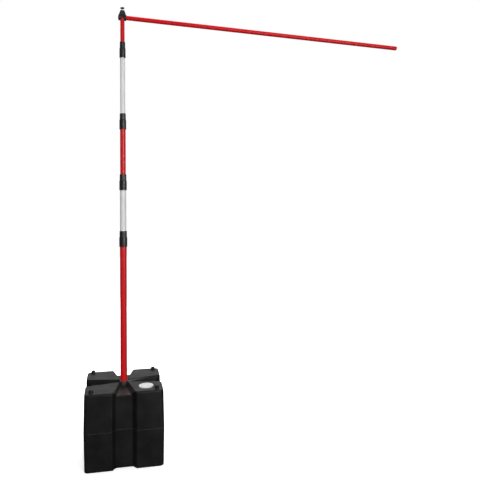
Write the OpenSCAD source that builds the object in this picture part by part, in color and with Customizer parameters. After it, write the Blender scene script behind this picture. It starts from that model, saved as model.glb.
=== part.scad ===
// Ballasted telescopic training stand with a swivelling boom.
// A four-lobed water tank carries a five-section mast. Each section is held by a twist lock,
// and the clamp head on top carries one long boom tube.
// Millimetres, +Z up. The origin is on the floor, under the mast's axis; the boom points to +X.

/* [Tank] */
// Width of the tank across its parting line, where it is widest
tank_width = 500; // [416:2:640]
// Height of the tank without its studs
tank_height = 484; // [380:1:620]
// Thickness of the moulded wall
tank_wall = 5; // [3:0.5:8]
// How much narrower each side is at the floor
tank_draft = 4; // [0:0.5:12]
// Radius of the vertical corners
corner_radius = 24; // [12:1:40]
// Bevel around the top edges
edge_bevel = 12; // [5:1:20]
// Bevel around the bottom edges
foot_bevel = 4; // [1:0.5:12]
// Width of each side channel at its mouth
channel_mouth = 150; // [100:2:190]
// Width of each side channel at its floor
channel_floor = 105; // [60:1:130]
// Depth of each side channel
channel_depth = 33; // [15:1:50]
// Depth of the top grooves at the outer edge
groove_depth = 28; // [15:1:45]
// Depth of the top grooves beside the mast
groove_depth_hub = 27; // [8:1:30]
// Width of the top grooves beside the mast
groove_width_hub = 44; // [30:1:70]
// Diameter of the stacking studs
stud_dia = 27; // [15:1:34]
// Height of the stacking studs
stud_height = 20; // [8:1:30]
// Distance from the tank's sides, at its top, to the middle of each stud
stud_inset = 41; // [38:1:44]
// How full the tank is, as a share of its inner height
fill_level = 0.9; // [0.1:0.05:0.94]

/* [Filler] */
// Distance from the tank's axis to the filler, along X and along Y, as a share of the tank's half width
filler_share = 0.57; // [0.54:0.01:0.58]
// Outer diameter of the filler cap
cap_dia = 95; // [70:1:110]
// Height of the cap above the tank's top
cap_height = 4; // [2:0.5:20]
// Radial thickness of the cap's skirt with its grip ribs
cap_wall = 5.5; // [4:0.5:8]
// Wall of the filler neck
neck_wall = 4; // [2:0.5:5]
// Depth of the filler neck below the tank's top
neck_depth = 34; // [20:1:60]

/* [Mast] */
// Outside diameter of the lowest tube
mast_dia = 45; // [40:0.5:60]
// Wall of every mast tube
tube_wall = 1.2; // [0.8:0.1:2]
// Free space between one tube and the next, filled by the guide bush
tube_gap = 0.85; // [0.5:0.05:1.2]
// How deep the lowest tube goes into the tank's socket
socket_depth = 320; // [150:5:330]
// Length of each of the other tubes
tube_length = 640; // [600:5:900]
// Bare length of tube 1 between the tank's top and lock 1
tube_1_show = 895; // [600:1:1000]
// Bare length of tube 2 between lock 1 and lock 2
tube_2_show = 273; // [20:1:340]
// Bare length of tube 3 between lock 2 and lock 3
tube_3_show = 301; // [20:1:340]
// Bare length of tube 4 between lock 3 and lock 4
tube_4_show = 374; // [20:1:400]
// Bare length of tube 5 between lock 4 and the head
tube_5_show = 144; // [30:1:400]
// Radial gap between a turning or sliding piece and what guides it
run_fit = 0.1; // [0.05:0.01:0.1]
// Clearance between moving pieces that aren't meant to touch
clear = 0.4; // [0.3:0.1:0.6]

/* [Locks] */
// Radial wall of the lock, over the tube that it sits on
lock_wall = 4; // [3.5:0.1:6]
// Height of the lower sleeve
sleeve_height = 63; // [40:1:90]
// Height of the turning nut
nut_height = 43; // [34:1:60]
// Number of grip flutes around the nut
nut_flutes = 12; // [6:1:18]
// Radius of each grip flute
flute_radius = 2; // [1:0.1:2.5]

/* [Head and boom] */
// Outside diameter of the boom
boom_dia = 29.5; // [20:0.5:34]
// Wall of the boom
boom_wall = 1.2; // [0.8:0.1:2]
// Length of the boom from the mast's axis to its far end
boom_reach = 2008; // [600:2:2400]
// Length of the boom on the other side of the mast's axis
boom_tail = 25; // [24:1:80]
// Angle by which the boom droops
boom_droop = 2.6; // [0:0.1:6]
// Length of the clamp head along the boom
head_length = 52; // [48:1:90]
// Wall of the clamp head around the boom
head_wall = 5; // [4:0.5:8]
// Height of the clamp dome above the boom's barrel
dome_height = 25; // [18:1:40]
// Width of the clamp dome across the boom
dome_width = 34; // [26:1:40]
// Diameter of the clamp stud
stud_thread = 8; // [6:1:10]
// Length of the spigot inside the top tube
spigot_length = 70; // [40:1:120]
// Width of the clamp dome along the boom, at its top
dome_crown = 30; // [24:1:36]
// Height of the red collar between the top tube and the head
collar_height = 16; // [8:1:30]
// Span of the wing nut
wing_span = 27; // [22:1:50]

/* [Hidden] */
$fn = 72;
// Overshoot of a cut past the faces that it goes through
over = 1;

// --- tank ---
half_mid = tank_width / 2;
half_end = half_mid - tank_draft;
part_line = tank_height / 2;
stud_offset = half_end - stud_inset;
// Inner and outer radius of the mast socket, and its height over the tank
socket_bore = mast_dia / 2 + run_fit;
socket_wall = 5;
socket_outer = socket_bore + socket_wall;
socket_rim = 1;
socket_top = tank_height + socket_rim;
socket_floor = socket_top - socket_depth;
socket_base = 6;
// Round recess that the cap sits in
recess_dia = cap_dia + 5;
recess_depth = 8;
recess_z = tank_height - recess_depth;
filler_offset = filler_share * half_end;
neck_outer = cap_dia / 2 - cap_wall;
neck_bore_r = neck_outer - neck_wall;
neck_bottom = tank_height - neck_depth;
cap_top = tank_height + cap_height;
cap_plate = 4;
seal_height = 2;
neck_top = cap_top - cap_plate - seal_height;
cap_skirt_bore = neck_outer + run_fit;
fill_z = tank_wall + fill_level * (tank_height - groove_depth - 2 * tank_wall);
// The water stays this far from the wall that holds it
water_gap = 0.3;

// --- mast: tube k goes from 1, at the bottom, to 5 ---
TUBES = 5;
tube_step = 2 * (tube_wall + tube_gap);
shows = [tube_1_show, tube_2_show, tube_3_show, tube_4_show, tube_5_show];
function tube_r(k) = (mast_dia - (k - 1) * tube_step) / 2;
function tube_bore_r(k) = tube_r(k) - tube_wall;
// Wall of the sleeve's shelf, which stops the next tube's guide bush
shelf = 3;
lock_height = sleeve_height + nut_height;
function lock_z(k) = k == 1 ? socket_top + tube_1_show : lock_z(k - 1) + lock_height + shows[k - 1];
mast_top = lock_z(TUBES - 1) + lock_height + tube_5_show;
foot_flange = 3;
function tube_top(k) = k == TUBES ? collar_z - clear : lock_z(k) + sleeve_height - shelf;
function tube_bottom(k) = k == 1 ? socket_floor + foot_flange : tube_top(k) - tube_length;
bush_height = 60;
bush_plug = 16;
foot_plug_height = 25;
// Threaded neck of the sleeve, split collet above it, and the nut around both
neck_height = 14;
neck_inner = 0.8;
neck_reach = 2.1;
nut_lip = 4;
nut_cone = 6;
collet_reach = 1.9;
collet_slot = 3;
flute_depth = 0.8;
soft_edge = 1.2;

// --- head and boom ---
boom_r = boom_dia / 2;
barrel_r = boom_r + head_wall;
head_z = mast_top + barrel_r;
spigot_r = tube_bore_r(TUBES) - run_fit;
// Collar over the spigot: a plain ring up to its seat in the saddle, with an arched lug in front and behind
collar_z = mast_top - collar_height;
collar_seat = 3;
lug_half = 0.825 * tube_r(TUBES);
lug_gap = 0.5;
lug_top = head_z - sqrt(max(0, boom_r * boom_r - spigot_r * spigot_r)) - lug_gap;
stud_r = stud_thread / 2;
stud_hole = stud_r + 0.25;
dome_top = head_z + barrel_r + dome_height;
dome_shoulder = 6;
dome_inset = 4;
split = 1.6;
washer_r = 12;
washer_height = 3;
nut_z = dome_top + washer_height;
boss_r = 6.5;
boss_height = 9;
grip_r = 6.5;
grip_height = 12;
grip_z = nut_z + boss_height;
grip_blind = 9;
wing_thick = 5;
wing_round = 4.5;
wing_turn = -13;
stud_head = 6;
plug_depth = 15;
plug_wall = 2.5;
plug_dome = 4;

// ---------- helpers ----------

// A straight tube between two heights
module pipe(outer, inner, z0, z1) {
    translate([0, 0, z0]) difference() {
        cylinder(r = outer, h = z1 - z0);
        translate([0, 0, -over]) cylinder(r = inner, h = z1 - z0 + 2 * over);
    }
}

module disc(r, z0, z1) {
    translate([0, 0, z0]) cylinder(r = r, h = z1 - z0);
}

// Four copies, one on each side of the tank
module on_four_sides() {
    for (turn = [0:90:270]) rotate(turn) children();
}

module at_filler() {
    translate([filler_offset, -filler_offset, 0]) children();
}

// The boom's own frame: x along the boom, its origin where the boom crosses the mast's axis
module boom_frame() {
    translate([0, 0, head_z]) rotate([0, boom_droop, 0]) children();
}

module along_boom(r, x0, x1) {
    translate([x0, 0, 0]) rotate([0, 90, 0]) cylinder(r = r, h = x1 - x0);
}

// ---------- tank ----------

// A thin square slice with round corners, used as one level of the block below
module level(half, z) {
    slice = 0.01;
    r = min(corner_radius, half / 2);
    translate([0, 0, z]) linear_extrude(slice) for (x = [-1, 1], y = [-1, 1])
        translate([x * (half - r), y * (half - r)]) circle(r = r, $fn = 32);
}

// The tank's outline without its channels, everything moved inwards by inset
module block(inset) {
    top = tank_height - inset;
    bevel = max(edge_bevel - inset / 2, 1);
    foot = max(foot_bevel - inset / 2, 1);
    hull() {
        for (lean = [0:30:90]) {
            level(half_end - inset - foot * (1 - sin(lean)), inset + foot * (1 - cos(lean)));
            level(half_end - inset - bevel * (1 - sin(lean)), top - 0.01 - bevel * (1 - cos(lean)));
        }
        level(half_mid - inset, part_line);
    }
}

// Cutter for the channel in the side that faces -Y; it grows by inset so that it can also
// leave the wall between the channel and the hollow inside
module side_channel(inset) {
    mouth = channel_mouth / 2 + inset;
    floor_half = channel_floor / 2 + inset;
    deep = half_end - channel_depth - inset;
    slope = (mouth - floor_half) / channel_depth;
    reach = half_mid + over;
    wide = mouth + slope * (reach - half_end);
    translate([0, 0, -over]) linear_extrude(tank_height + 2 * over)
        polygon([[-wide, -reach], [wide, -reach], [floor_half, -deep], [-floor_half, -deep]]);
}

// Cutter for the groove in the top, from the mast to the side that faces -Y
module top_groove(inset) {
    out = half_mid + over;
    top = tank_height + over;
    z_hub = tank_height - groove_depth_hub - inset;
    z_out = tank_height - groove_depth - inset;
    m_hub = groove_width_hub / 2 + inset;
    f_hub = m_hub - groove_depth_hub * 0.4;
    m_out = channel_mouth / 2 + inset;
    f_out = channel_floor / 2 + inset;
    polyhedron(
        points = [
            [-f_hub, 0, z_hub], [f_hub, 0, z_hub], [m_hub, 0, top], [-m_hub, 0, top],
            [-f_out, -out, z_out], [f_out, -out, z_out], [m_out, -out, top], [-m_out, -out, top]
        ],
        faces = [[0, 1, 2, 3], [7, 6, 5, 4], [1, 0, 4, 5], [2, 1, 5, 6], [3, 2, 6, 7], [0, 3, 7, 4]]
    );
}

// Four lobes around the mast: the block without its channels and grooves
module lobes(inset) {
    difference() {
        block(inset);
        on_four_sides() side_channel(inset);
        on_four_sides() top_groove(inset);
    }
}

// The hollow inside; extra moves every wall further in
module hollow(extra) {
    gap = tank_wall + extra;
    difference() {
        lobes(gap);
        disc(socket_outer + gap, 0, tank_height);
        at_filler() disc(recess_dia / 2 + gap, recess_z - gap, tank_height);
        at_filler() disc(neck_outer + gap, neck_bottom - gap, tank_height);
    }
}

module ballast_tank() {
    color([0.09, 0.09, 0.1]) difference() {
        union() {
            difference() {
                lobes(0);
                hollow(0);
            }
            for (x = [-1, 1], y = [-1, 1]) translate([x * stud_offset, y * stud_offset, 0])
                disc(stud_dia / 2, tank_height - tank_wall, tank_height + stud_height);
        }
        disc(socket_outer, socket_floor - socket_base, tank_height + over);
        at_filler() disc(recess_dia / 2, recess_z, tank_height + over);
        at_filler() disc(neck_outer, neck_bottom, tank_height);
        at_filler() disc(neck_bore_r, neck_bottom - tank_wall - over, tank_height);
    }
}

module water_ballast() {
    color([0.45, 0.62, 0.72]) intersection() {
        hollow(water_gap);
        disc(2 * half_mid, 0, fill_z);
    }
}

module mast_socket() {
    color([0.12, 0.12, 0.13]) {
        pipe(socket_outer, socket_bore, socket_floor, socket_top);
        disc(socket_outer, socket_floor - socket_base, socket_floor);
    }
}

// ---------- filler ----------

module filler_neck() {
    color([0.13, 0.13, 0.14]) at_filler() pipe(neck_outer, neck_bore_r, neck_bottom, neck_top);
}

module filler_seal() {
    color([0.2, 0.2, 0.2]) at_filler() pipe(neck_outer, neck_bore_r + 1, neck_top, neck_top + seal_height);
}

module filler_cap() {
    skirt_z = recess_z + clear;
    rib = 1.2;
    ribs = 36;
    color([0.93, 0.93, 0.92]) at_filler() difference() {
        union() {
            disc(cap_dia / 2 - soft_edge, skirt_z, cap_top);
            disc(cap_dia / 2, skirt_z, cap_top - soft_edge);
        }
        disc(cap_skirt_bore, skirt_z - over, cap_top - cap_plate);
        for (i = [0:ribs - 1]) rotate(i * 360 / ribs) translate([cap_dia / 2 + rib / 2, 0, 0])
            disc(rib, skirt_z - over, cap_top + over);
    }
}

// ---------- mast ----------

module mast_tube(k) {
    tint = k % 2 == 1 ? [0.75, 0.1, 0.1] : [0.88, 0.89, 0.88];
    color(tint) pipe(tube_r(k), tube_bore_r(k), tube_bottom(k), tube_top(k));
}

module foot_plug() {
    color([0.1, 0.1, 0.1]) {
        disc(tube_r(1), socket_floor, tube_bottom(1));
        disc(tube_bore_r(1), tube_bottom(1), tube_bottom(1) + foot_plug_height);
    }
}

// Ring around the foot of tube k that slides inside tube k - 1, with a plug inside the tube
module guide_bush(k) {
    outer = tube_bore_r(k - 1) - run_fit;
    z = tube_bottom(k);
    color([0.1, 0.1, 0.1]) {
        pipe(outer, tube_r(k), z, z + bush_height);
        pipe(outer, tube_bore_r(k) - 3, z - foot_flange, z);
        pipe(tube_bore_r(k), tube_bore_r(k) - 3, z, z + bush_plug);
    }
}

// Sleeve on the end of tube k: a shelf covers the tube's end, and a threaded neck holds the nut
module lock_sleeve(k) {
    r = tube_r(k);
    next = tube_r(k + 1);
    outer = r + lock_wall;
    color([0.16, 0.16, 0.17]) translate([0, 0, lock_z(k)]) rotate_extrude() polygon([
        [r, 0], [outer - soft_edge, 0], [outer, soft_edge],
        [outer, sleeve_height - soft_edge], [outer - soft_edge, sleeve_height],
        [next + neck_reach, sleeve_height], [next + neck_reach, sleeve_height + neck_height],
        [next + neck_inner, sleeve_height + neck_height], [next + neck_inner, sleeve_height - shelf],
        [r, sleeve_height - shelf]
    ]);
}

// Split ring that the nut's cone squeezes onto the next tube
module lock_collet(k) {
    next = tube_r(k + 1);
    z0 = sleeve_height + neck_height;
    z1 = sleeve_height + nut_height - nut_lip - clear;
    color([0.75, 0.74, 0.7]) translate([0, 0, lock_z(k)]) difference() {
        rotate_extrude() polygon([
            [next + run_fit, z0], [next + collet_reach, z0],
            [next + collet_reach, z1 - nut_cone], [next + collet_reach - 1, z1], [next + run_fit, z1]
        ]);
        translate([0, -collet_slot / 2, z0 - over]) cube([2 * next, collet_slot, z1 - z0 + 2 * over]);
    }
}

// Nut that turns on the sleeve's neck; grip flutes run up its outside
module lock_nut(k) {
    next = tube_r(k + 1);
    outer = next + lock_wall;
    bore = next + neck_reach + run_fit;
    z0 = sleeve_height + clear;
    z1 = sleeve_height + nut_height;
    color([0.14, 0.14, 0.15]) translate([0, 0, lock_z(k)]) difference() {
        rotate_extrude() polygon([
            [bore, z0], [outer, z0], [outer, z1 - soft_edge], [outer - soft_edge, z1],
            [next + clear, z1], [next + clear, z1 - nut_lip],
            [bore - 1, z1 - nut_lip], [bore, z1 - nut_lip - nut_cone]
        ]);
        for (i = [0:nut_flutes - 1]) rotate(i * 360 / nut_flutes)
            translate([outer + flute_radius - flute_depth, 0, 0])
                disc(flute_radius, z0 + 4, z1 - 4, $fn = 24);
    }
}

// ---------- head and boom ----------

// Outline of the arched lug, seen along Y, made wider by extra
module lug_arch(extra) {
    rotate([90, 0, 0]) linear_extrude(4 * barrel_r, center = true) intersection() {
        translate([0, lug_top - lug_half]) union() {
            circle(r = lug_half + extra);
            translate([-lug_half - extra, -lug_half]) square([2 * (lug_half + extra), lug_half]);
        }
        translate([-2 * lug_half, collar_z]) square([4 * lug_half, collar_height + 2 * barrel_r]);
    }
}

// Red collar that carries the mast's colour up into the head
module head_collar() {
    seat = mast_top + collar_seat;
    color([0.75, 0.1, 0.1]) difference() {
        union() {
            pipe(tube_r(TUBES), spigot_r, collar_z, seat);
            intersection() {
                pipe(tube_r(TUBES), spigot_r, seat - over, lug_top);
                lug_arch(0);
            }
        }
        boom_frame() along_boom(boom_r + run_fit, -head_length, head_length);
    }
}

// Lower half of the clamp: half a barrel under the boom, and the spigot that turns in tube 5
module boom_saddle() {
    low = collar_z - spigot_length;
    below = 2 * barrel_r;
    color([0.1, 0.1, 0.11]) difference() {
        union() {
            intersection() {
                boom_frame() along_boom(barrel_r, -head_length / 2, head_length / 2);
                translate([-head_length, -barrel_r, head_z - split / 2 - below])
                    cube([2 * head_length, 2 * barrel_r, below]);
            }
            disc(spigot_r, low, head_z - boom_r);
        }
        boom_frame() along_boom(boom_r, -head_length, head_length);
        pipe(tube_r(TUBES), spigot_r, low, mast_top + collar_seat);
        difference() {
            lug_arch(clear);
            disc(spigot_r, collar_z, head_z);
            translate([-head_length, -2 * head_length, head_z - split / 2]) cube(4 * head_length);
        }
        disc(stud_hole, low - over, head_z);
        disc(stud_r + 3, low - over, low + stud_head);
    }
}

// Upper half of the clamp: half a barrel over the boom under a block that narrows to round shoulders
module clamp_dome() {
    crown = dome_crown / 2 - dome_shoulder;
    foot = head_length / 2 - dome_inset;
    color([0.1, 0.1, 0.11]) difference() {
        union() {
            intersection() {
                boom_frame() along_boom(barrel_r, -head_length / 2, head_length / 2);
                translate([-head_length, -barrel_r, head_z + split / 2])
                    cube([2 * head_length, 2 * barrel_r, 2 * barrel_r]);
            }
            translate([0, dome_width / 2, 0]) rotate([90, 0, 0]) linear_extrude(dome_width) hull() {
                for (side = [-1, 1]) translate([side * crown, dome_top - dome_shoulder])
                    circle(r = dome_shoulder);
                translate([-foot, head_z + boom_r / 2]) square([2 * foot, barrel_r - boom_r / 2]);
            }
        }
        boom_frame() along_boom(boom_r, -head_length, head_length);
        disc(stud_hole, head_z, dome_top + over);
    }
}

// Bolt up through the spigot, the boom and the dome, with its head under the spigot
module clamp_stud() {
    low = collar_z - spigot_length;
    color([0.7, 0.7, 0.72]) {
        disc(stud_r + 2.5, low + 0.5, low + stud_head, $fn = 6);
        disc(stud_r, low + stud_head, grip_z + grip_blind - 1);
    }
}

module flat_washer() {
    color([0.8, 0.8, 0.82]) pipe(washer_r, stud_hole, dome_top, dome_top + washer_height);
}

// Plated boss under the wing nut's grip
module nut_boss() {
    color([0.8, 0.8, 0.82]) pipe(boss_r, stud_r + run_fit, nut_z, grip_z);
}

// Grip of the wing nut: a hub with a wing on each side, closed on top
module wing_nut() {
    color([0.12, 0.12, 0.13]) translate([0, 0, grip_z]) rotate(wing_turn) difference() {
        union() {
            cylinder(r = grip_r, h = grip_height);
            for (side = [0, 180]) rotate(side) translate([0, wing_thick / 2, 0]) rotate([90, 0, 0])
                linear_extrude(wing_thick) hull() {
                    for (z = [wing_round, grip_height - wing_round])
                        translate([wing_span / 2 - wing_round, z]) circle(r = wing_round);
                    translate([grip_r - 3, 0.5]) square([1, grip_height - 1]);
                }
        }
        disc(stud_r + run_fit, -over, grip_blind);
    }
}

module boom_tube() {
    color([0.82, 0.2, 0.2]) difference() {
        boom_frame() difference() {
            along_boom(boom_r, -boom_tail, boom_reach);
            along_boom(boom_r - boom_wall, -boom_tail - over, boom_reach + over);
        }
        disc(stud_hole, head_z - barrel_r, head_z + barrel_r);
    }
}

// Domed plug: a cup pushed into the tube, with a flange over the tube's end
module boom_plug() {
    rotate([0, 90, 0]) rotate_extrude() polygon(concat(
        [[0, plug_dome]],
        [for (a = [75:-15:0]) [boom_r * cos(a), plug_dome * sin(a)]],
        [[boom_r - boom_wall, 0], [boom_r - boom_wall, -plug_depth],
         [boom_r - boom_wall - plug_wall, -plug_depth], [boom_r - boom_wall - plug_wall, -plug_wall],
         [0, -plug_wall]]
    ));
}

module boom_plug_tip() {
    color([0.78, 0.16, 0.17]) boom_frame() translate([boom_reach, 0, 0]) boom_plug();
}

module boom_plug_tail() {
    color([0.78, 0.16, 0.17]) boom_frame() translate([-boom_tail, 0, 0]) rotate(180) boom_plug();
}

// ---------- what is drawn ----------

ballast_tank();
water_ballast();
mast_socket();
filler_neck();
filler_seal();
filler_cap();
for (k = [1:TUBES]) mast_tube(k);
foot_plug();
for (k = [2:TUBES]) guide_bush(k);
for (k = [1:TUBES - 1]) lock_sleeve(k);
for (k = [1:TUBES - 1]) lock_collet(k);
for (k = [1:TUBES - 1]) lock_nut(k);
head_collar();
boom_saddle();
clamp_dome();
clamp_stud();
flat_washer();
nut_boss();
wing_nut();
boom_tube();
boom_plug_tip();
boom_plug_tail();
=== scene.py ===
"""Looks of a ballasted telescopic training stand with a swivelling boom.

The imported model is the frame: every piece below takes its place from a CAD node and rides on a CAD body.
All lengths are in metres, +Z is up and the boom points to +X.
"""

import logging
import math
from dataclasses import dataclass, field
from enum import Enum
from typing import Callable, Iterable, Optional, Sequence, Union

import bmesh
import bpy
from mathutils import Matrix, Vector


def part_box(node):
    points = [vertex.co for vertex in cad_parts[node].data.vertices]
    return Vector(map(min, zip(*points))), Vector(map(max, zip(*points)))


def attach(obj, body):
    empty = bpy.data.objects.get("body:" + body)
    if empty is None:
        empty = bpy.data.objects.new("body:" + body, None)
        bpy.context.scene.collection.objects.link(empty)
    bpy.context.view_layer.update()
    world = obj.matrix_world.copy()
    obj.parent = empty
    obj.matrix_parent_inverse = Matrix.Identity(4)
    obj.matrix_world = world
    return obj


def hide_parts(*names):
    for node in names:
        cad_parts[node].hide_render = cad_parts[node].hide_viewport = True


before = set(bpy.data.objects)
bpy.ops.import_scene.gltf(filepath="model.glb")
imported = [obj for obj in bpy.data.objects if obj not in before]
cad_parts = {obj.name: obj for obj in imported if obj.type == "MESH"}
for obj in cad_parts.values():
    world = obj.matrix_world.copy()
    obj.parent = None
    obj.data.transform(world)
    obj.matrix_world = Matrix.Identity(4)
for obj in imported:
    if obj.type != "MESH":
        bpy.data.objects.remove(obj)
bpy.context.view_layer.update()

log = logging.getLogger("stand")

MM = 0.001
OVERSHOOT = 0.01
WHITE_LIGHT = (1.0, 1.0, 1.0, 1.0)
Colour = tuple[float, float, float]
Outline = list[tuple[float, float]]
Corner = tuple[float, float, float]
Shape = Callable[[float, float, float], float]  # from angle, plain radius and height to the radius to use
Point = tuple[float, float, float]
Feed = Union[float, tuple, bpy.types.NodeSocket]


# ------------------------------------------------------------------------------------------------
# Mesh helpers
# ------------------------------------------------------------------------------------------------

def rounded(corners: Sequence[Corner], steps: int = 6) -> Outline:
    """Rounds the corners of a closed outline.

    Args:
        corners: (radius from the axis, height, rounding) of each corner, in order.
        steps: points on each rounded corner.

    Returns:
        The points of the rounded outline, as (radius, height).
    """
    points: Outline = []
    count = len(corners)
    for i, (r, z, rounding) in enumerate(corners):
        here = Vector((r, z))
        to_last = Vector(corners[i - 1][:2]) - here
        to_next = Vector(corners[(i + 1) % count][:2]) - here
        reach = min(rounding, 0.48 * to_last.length, 0.48 * to_next.length)
        if reach <= 0:
            points.append((r, z))
            continue
        start = here + to_last.normalized() * reach
        end = here + to_next.normalized() * reach
        for step in range(steps + 1):
            t = step / steps
            point = start * (1 - t) ** 2 + here * (2 * t * (1 - t)) + end * t ** 2
            points.append((point.x, point.y))
    return points


def refined(outline: Outline, spacing: float) -> Outline:
    """Adds points along the long stretches of an outline.

    Args:
        outline: a closed outline.
        spacing: the longest step that is left.

    Returns:
        The outline with the added points.
    """
    points: Outline = []
    for i, (r, z) in enumerate(outline):
        r_next, z_next = outline[(i + 1) % len(outline)]
        length = math.hypot(r_next - r, z_next - z)
        parts = max(1, math.ceil(length / spacing))
        points.extend((r + (r_next - r) * p / parts, z + (z_next - z) * p / parts) for p in range(parts))
    return points


def clamped(value: float) -> float:
    """Holds a value between 0 and 1."""
    return min(1.0, max(0.0, value))


def mesh_object(name: str, vertices: Sequence, faces: Sequence) -> bpy.types.Object:
    """Makes a mesh object from vertices and faces, with coincident points joined and normals outwards.

    Args:
        name: the object's name.
        vertices: the points.
        faces: lists of point numbers.

    Returns:
        The new object, linked to the scene.
    """
    mesh = bpy.data.meshes.new(name)
    mesh.from_pydata([tuple(v) for v in vertices], [], [tuple(f) for f in faces])
    work = bmesh.new()
    work.from_mesh(mesh)
    bmesh.ops.remove_doubles(work, verts=work.verts, dist=1e-6)
    bmesh.ops.dissolve_degenerate(work, edges=work.edges, dist=1e-7)
    bmesh.ops.recalc_face_normals(work, faces=work.faces)
    work.to_mesh(mesh)
    work.free()
    piece = bpy.data.objects.new(name, mesh)
    bpy.context.scene.collection.objects.link(piece)
    return piece


def smooth(piece: bpy.types.Object, sharp_angle: float = 40.0) -> bpy.types.Object:
    """Shades a piece smooth, apart from its sharp edges.

    Args:
        piece: the mesh.
        sharp_angle: edges with a larger angle than this stay sharp, in degrees.

    Returns:
        The piece.
    """
    piece.data.shade_smooth()
    piece.data.set_sharp_from_angle(angle=math.radians(sharp_angle))
    return piece


def lathe(name: str, outline: Outline, sides: int = 96, shape: Optional[Shape] = None) -> bpy.types.Object:
    """Turns a closed outline about Z.

    Args:
        name: the object's name.
        outline: the (radius, height) points.
        sides: steps around the axis.
        shape: takes angle, radius and height, and returns the radius to use there.

    Returns:
        The turned solid, shaded smooth.
    """
    vertices = []
    for side in range(sides):
        angle = math.tau * side / sides
        for r, z in outline:
            radius = shape(angle, r, z) if shape else r
            vertices.append((radius * math.cos(angle), radius * math.sin(angle), z))
    count = len(outline)
    faces = []
    for side in range(sides):
        this, other = side * count, ((side + 1) % sides) * count
        for i in range(count):
            j = (i + 1) % count
            if outline[i][0] < 1e-7 and outline[j][0] < 1e-7:
                continue
            faces.append((this + i, other + i, other + j, this + j))
    return smooth(mesh_object(name, vertices, faces))


def prism(name: str, outline: Sequence[tuple[float, float]], z0: float, z1: float) -> bpy.types.Object:
    """Makes a straight prism with a flat outline in X and Y.

    Args:
        name: the object's name.
        outline: the (x, y) points, anticlockwise.
        z0: height of its bottom.
        z1: height of its top.

    Returns:
        The closed prism.
    """
    count = len(outline)
    vertices = [(x, y, z) for z in (z0, z1) for x, y in outline]
    faces = [tuple(range(count))[::-1], tuple(range(count, 2 * count))]
    faces += [(i, (i + 1) % count, count + (i + 1) % count, count + i) for i in range(count)]
    return mesh_object(name, vertices, faces)


def moved(piece: bpy.types.Object, matrix: Matrix) -> bpy.types.Object:
    """Moves a piece's points, so that the object itself stays at the origin."""
    piece.data.transform(matrix)
    return piece


def settled(piece: bpy.types.Object) -> bpy.types.Object:
    """Applies a piece's modifiers to its mesh.

    Args:
        piece: the mesh with its modifiers.

    Returns:
        The piece.
    """
    seen = piece.evaluated_get(bpy.context.evaluated_depsgraph_get())
    mesh = bpy.data.meshes.new_from_object(seen)
    piece.modifiers.clear()
    piece.data = mesh
    return piece


def cut(piece: bpy.types.Object, cutters: Iterable[bpy.types.Object]) -> bpy.types.Object:
    """Cuts each cutter out of a piece and removes the cutters.

    Args:
        piece: the closed mesh to cut.
        cutters: closed meshes.

    Returns:
        The piece.
    """
    cutters = list(cutters)
    for cutter in cutters:
        step = piece.modifiers.new("cut", "BOOLEAN")
        step.operation = "DIFFERENCE"
        step.solver = "EXACT"
        step.object = cutter
    settled(piece)
    for cutter in cutters:
        bpy.data.objects.remove(cutter)
    return piece


def joined(name: str, parts: Sequence[bpy.types.Object]) -> bpy.types.Object:
    """Joins meshes into one object, without merging their surfaces.

    Args:
        name: the new object's name.
        parts: the meshes, which are removed.

    Returns:
        The new object.
    """
    work = bmesh.new()
    for part in parts:
        work.from_mesh(part.data)
    mesh = bpy.data.meshes.new(name)
    work.to_mesh(mesh)
    work.free()
    for part in parts:
        bpy.data.objects.remove(part)
    piece = bpy.data.objects.new(name, mesh)
    bpy.context.scene.collection.objects.link(piece)
    return piece


def softened(piece: bpy.types.Object, voxel: float, passes: int) -> bpy.types.Object:
    """Gives a piece the round edges of a moulding: remeshed evenly, then relaxed.

    Args:
        piece: one or more closed, overlapping shells.
        voxel: size of the new faces.
        passes: how often the surface is relaxed, which sets the radius of the edges.

    Returns:
        The piece.
    """
    remesh = piece.modifiers.new("even faces", "REMESH")
    remesh.mode = "VOXEL"
    remesh.voxel_size = voxel
    relax = piece.modifiers.new("round edges", "SMOOTH")
    relax.factor = 0.5
    relax.iterations = passes
    settled(piece)
    piece.data.shade_smooth()
    return piece


def outline_at(piece: bpy.types.Object, height: float) -> list[Vector]:
    """Finds a piece's outer outline at a height.

    Args:
        piece: a closed mesh.
        height: where it is cut level.

    Returns:
        The points of the longest loop, anticlockwise and gently evened out.
    """
    work = bmesh.new()
    work.from_mesh(piece.data)
    everything = [*work.verts, *work.edges, *work.faces]
    found = bmesh.ops.bisect_plane(work, geom=everything, plane_co=(0, 0, height), plane_no=(0, 0, 1))
    work.edges.index_update()
    edges = {e for e in found["geom_cut"] if isinstance(e, bmesh.types.BMEdge)}
    loops = []
    while edges:
        edge = min(edges, key=lambda e: e.index)
        edges.remove(edge)
        chain = [edge.verts[0], edge.verts[1]]
        while True:
            after = next((e for e in chain[-1].link_edges if e in edges), None)
            if after is None:
                break
            edges.remove(after)
            chain.append(after.other_vert(chain[-1]))
        loops.append([Vector(v.co[:2]) for v in chain[:-1]])
    work.free()
    loop = max(loops, key=lambda points: sum((a - b).length for a, b in zip(points, points[1:])))
    for _ in range(3):
        loop = [(loop[i - 1] + 2 * loop[i] + loop[(i + 1) % len(loop)]) / 4 for i in range(len(loop))]
    area = sum(a.x * b.y - a.y * b.x for a, b in zip(loop, loop[1:] + loop[:1]))
    return loop if area > 0 else loop[::-1]


def copy_of(node: str, name: str) -> bpy.types.Object:
    """Copies a CAD node's mesh into a new object.

    Args:
        node: the CAD node's name.
        name: the new object's name.

    Returns:
        The new object, without a material.
    """
    piece = bpy.data.objects.new(name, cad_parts[node].data.copy())
    piece.data.materials.clear()
    bpy.context.scene.collection.objects.link(piece)
    return piece


def middle(node: str) -> Vector:
    """The middle of a CAD node's box."""
    low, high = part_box(node)
    return (low + high) / 2


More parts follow.
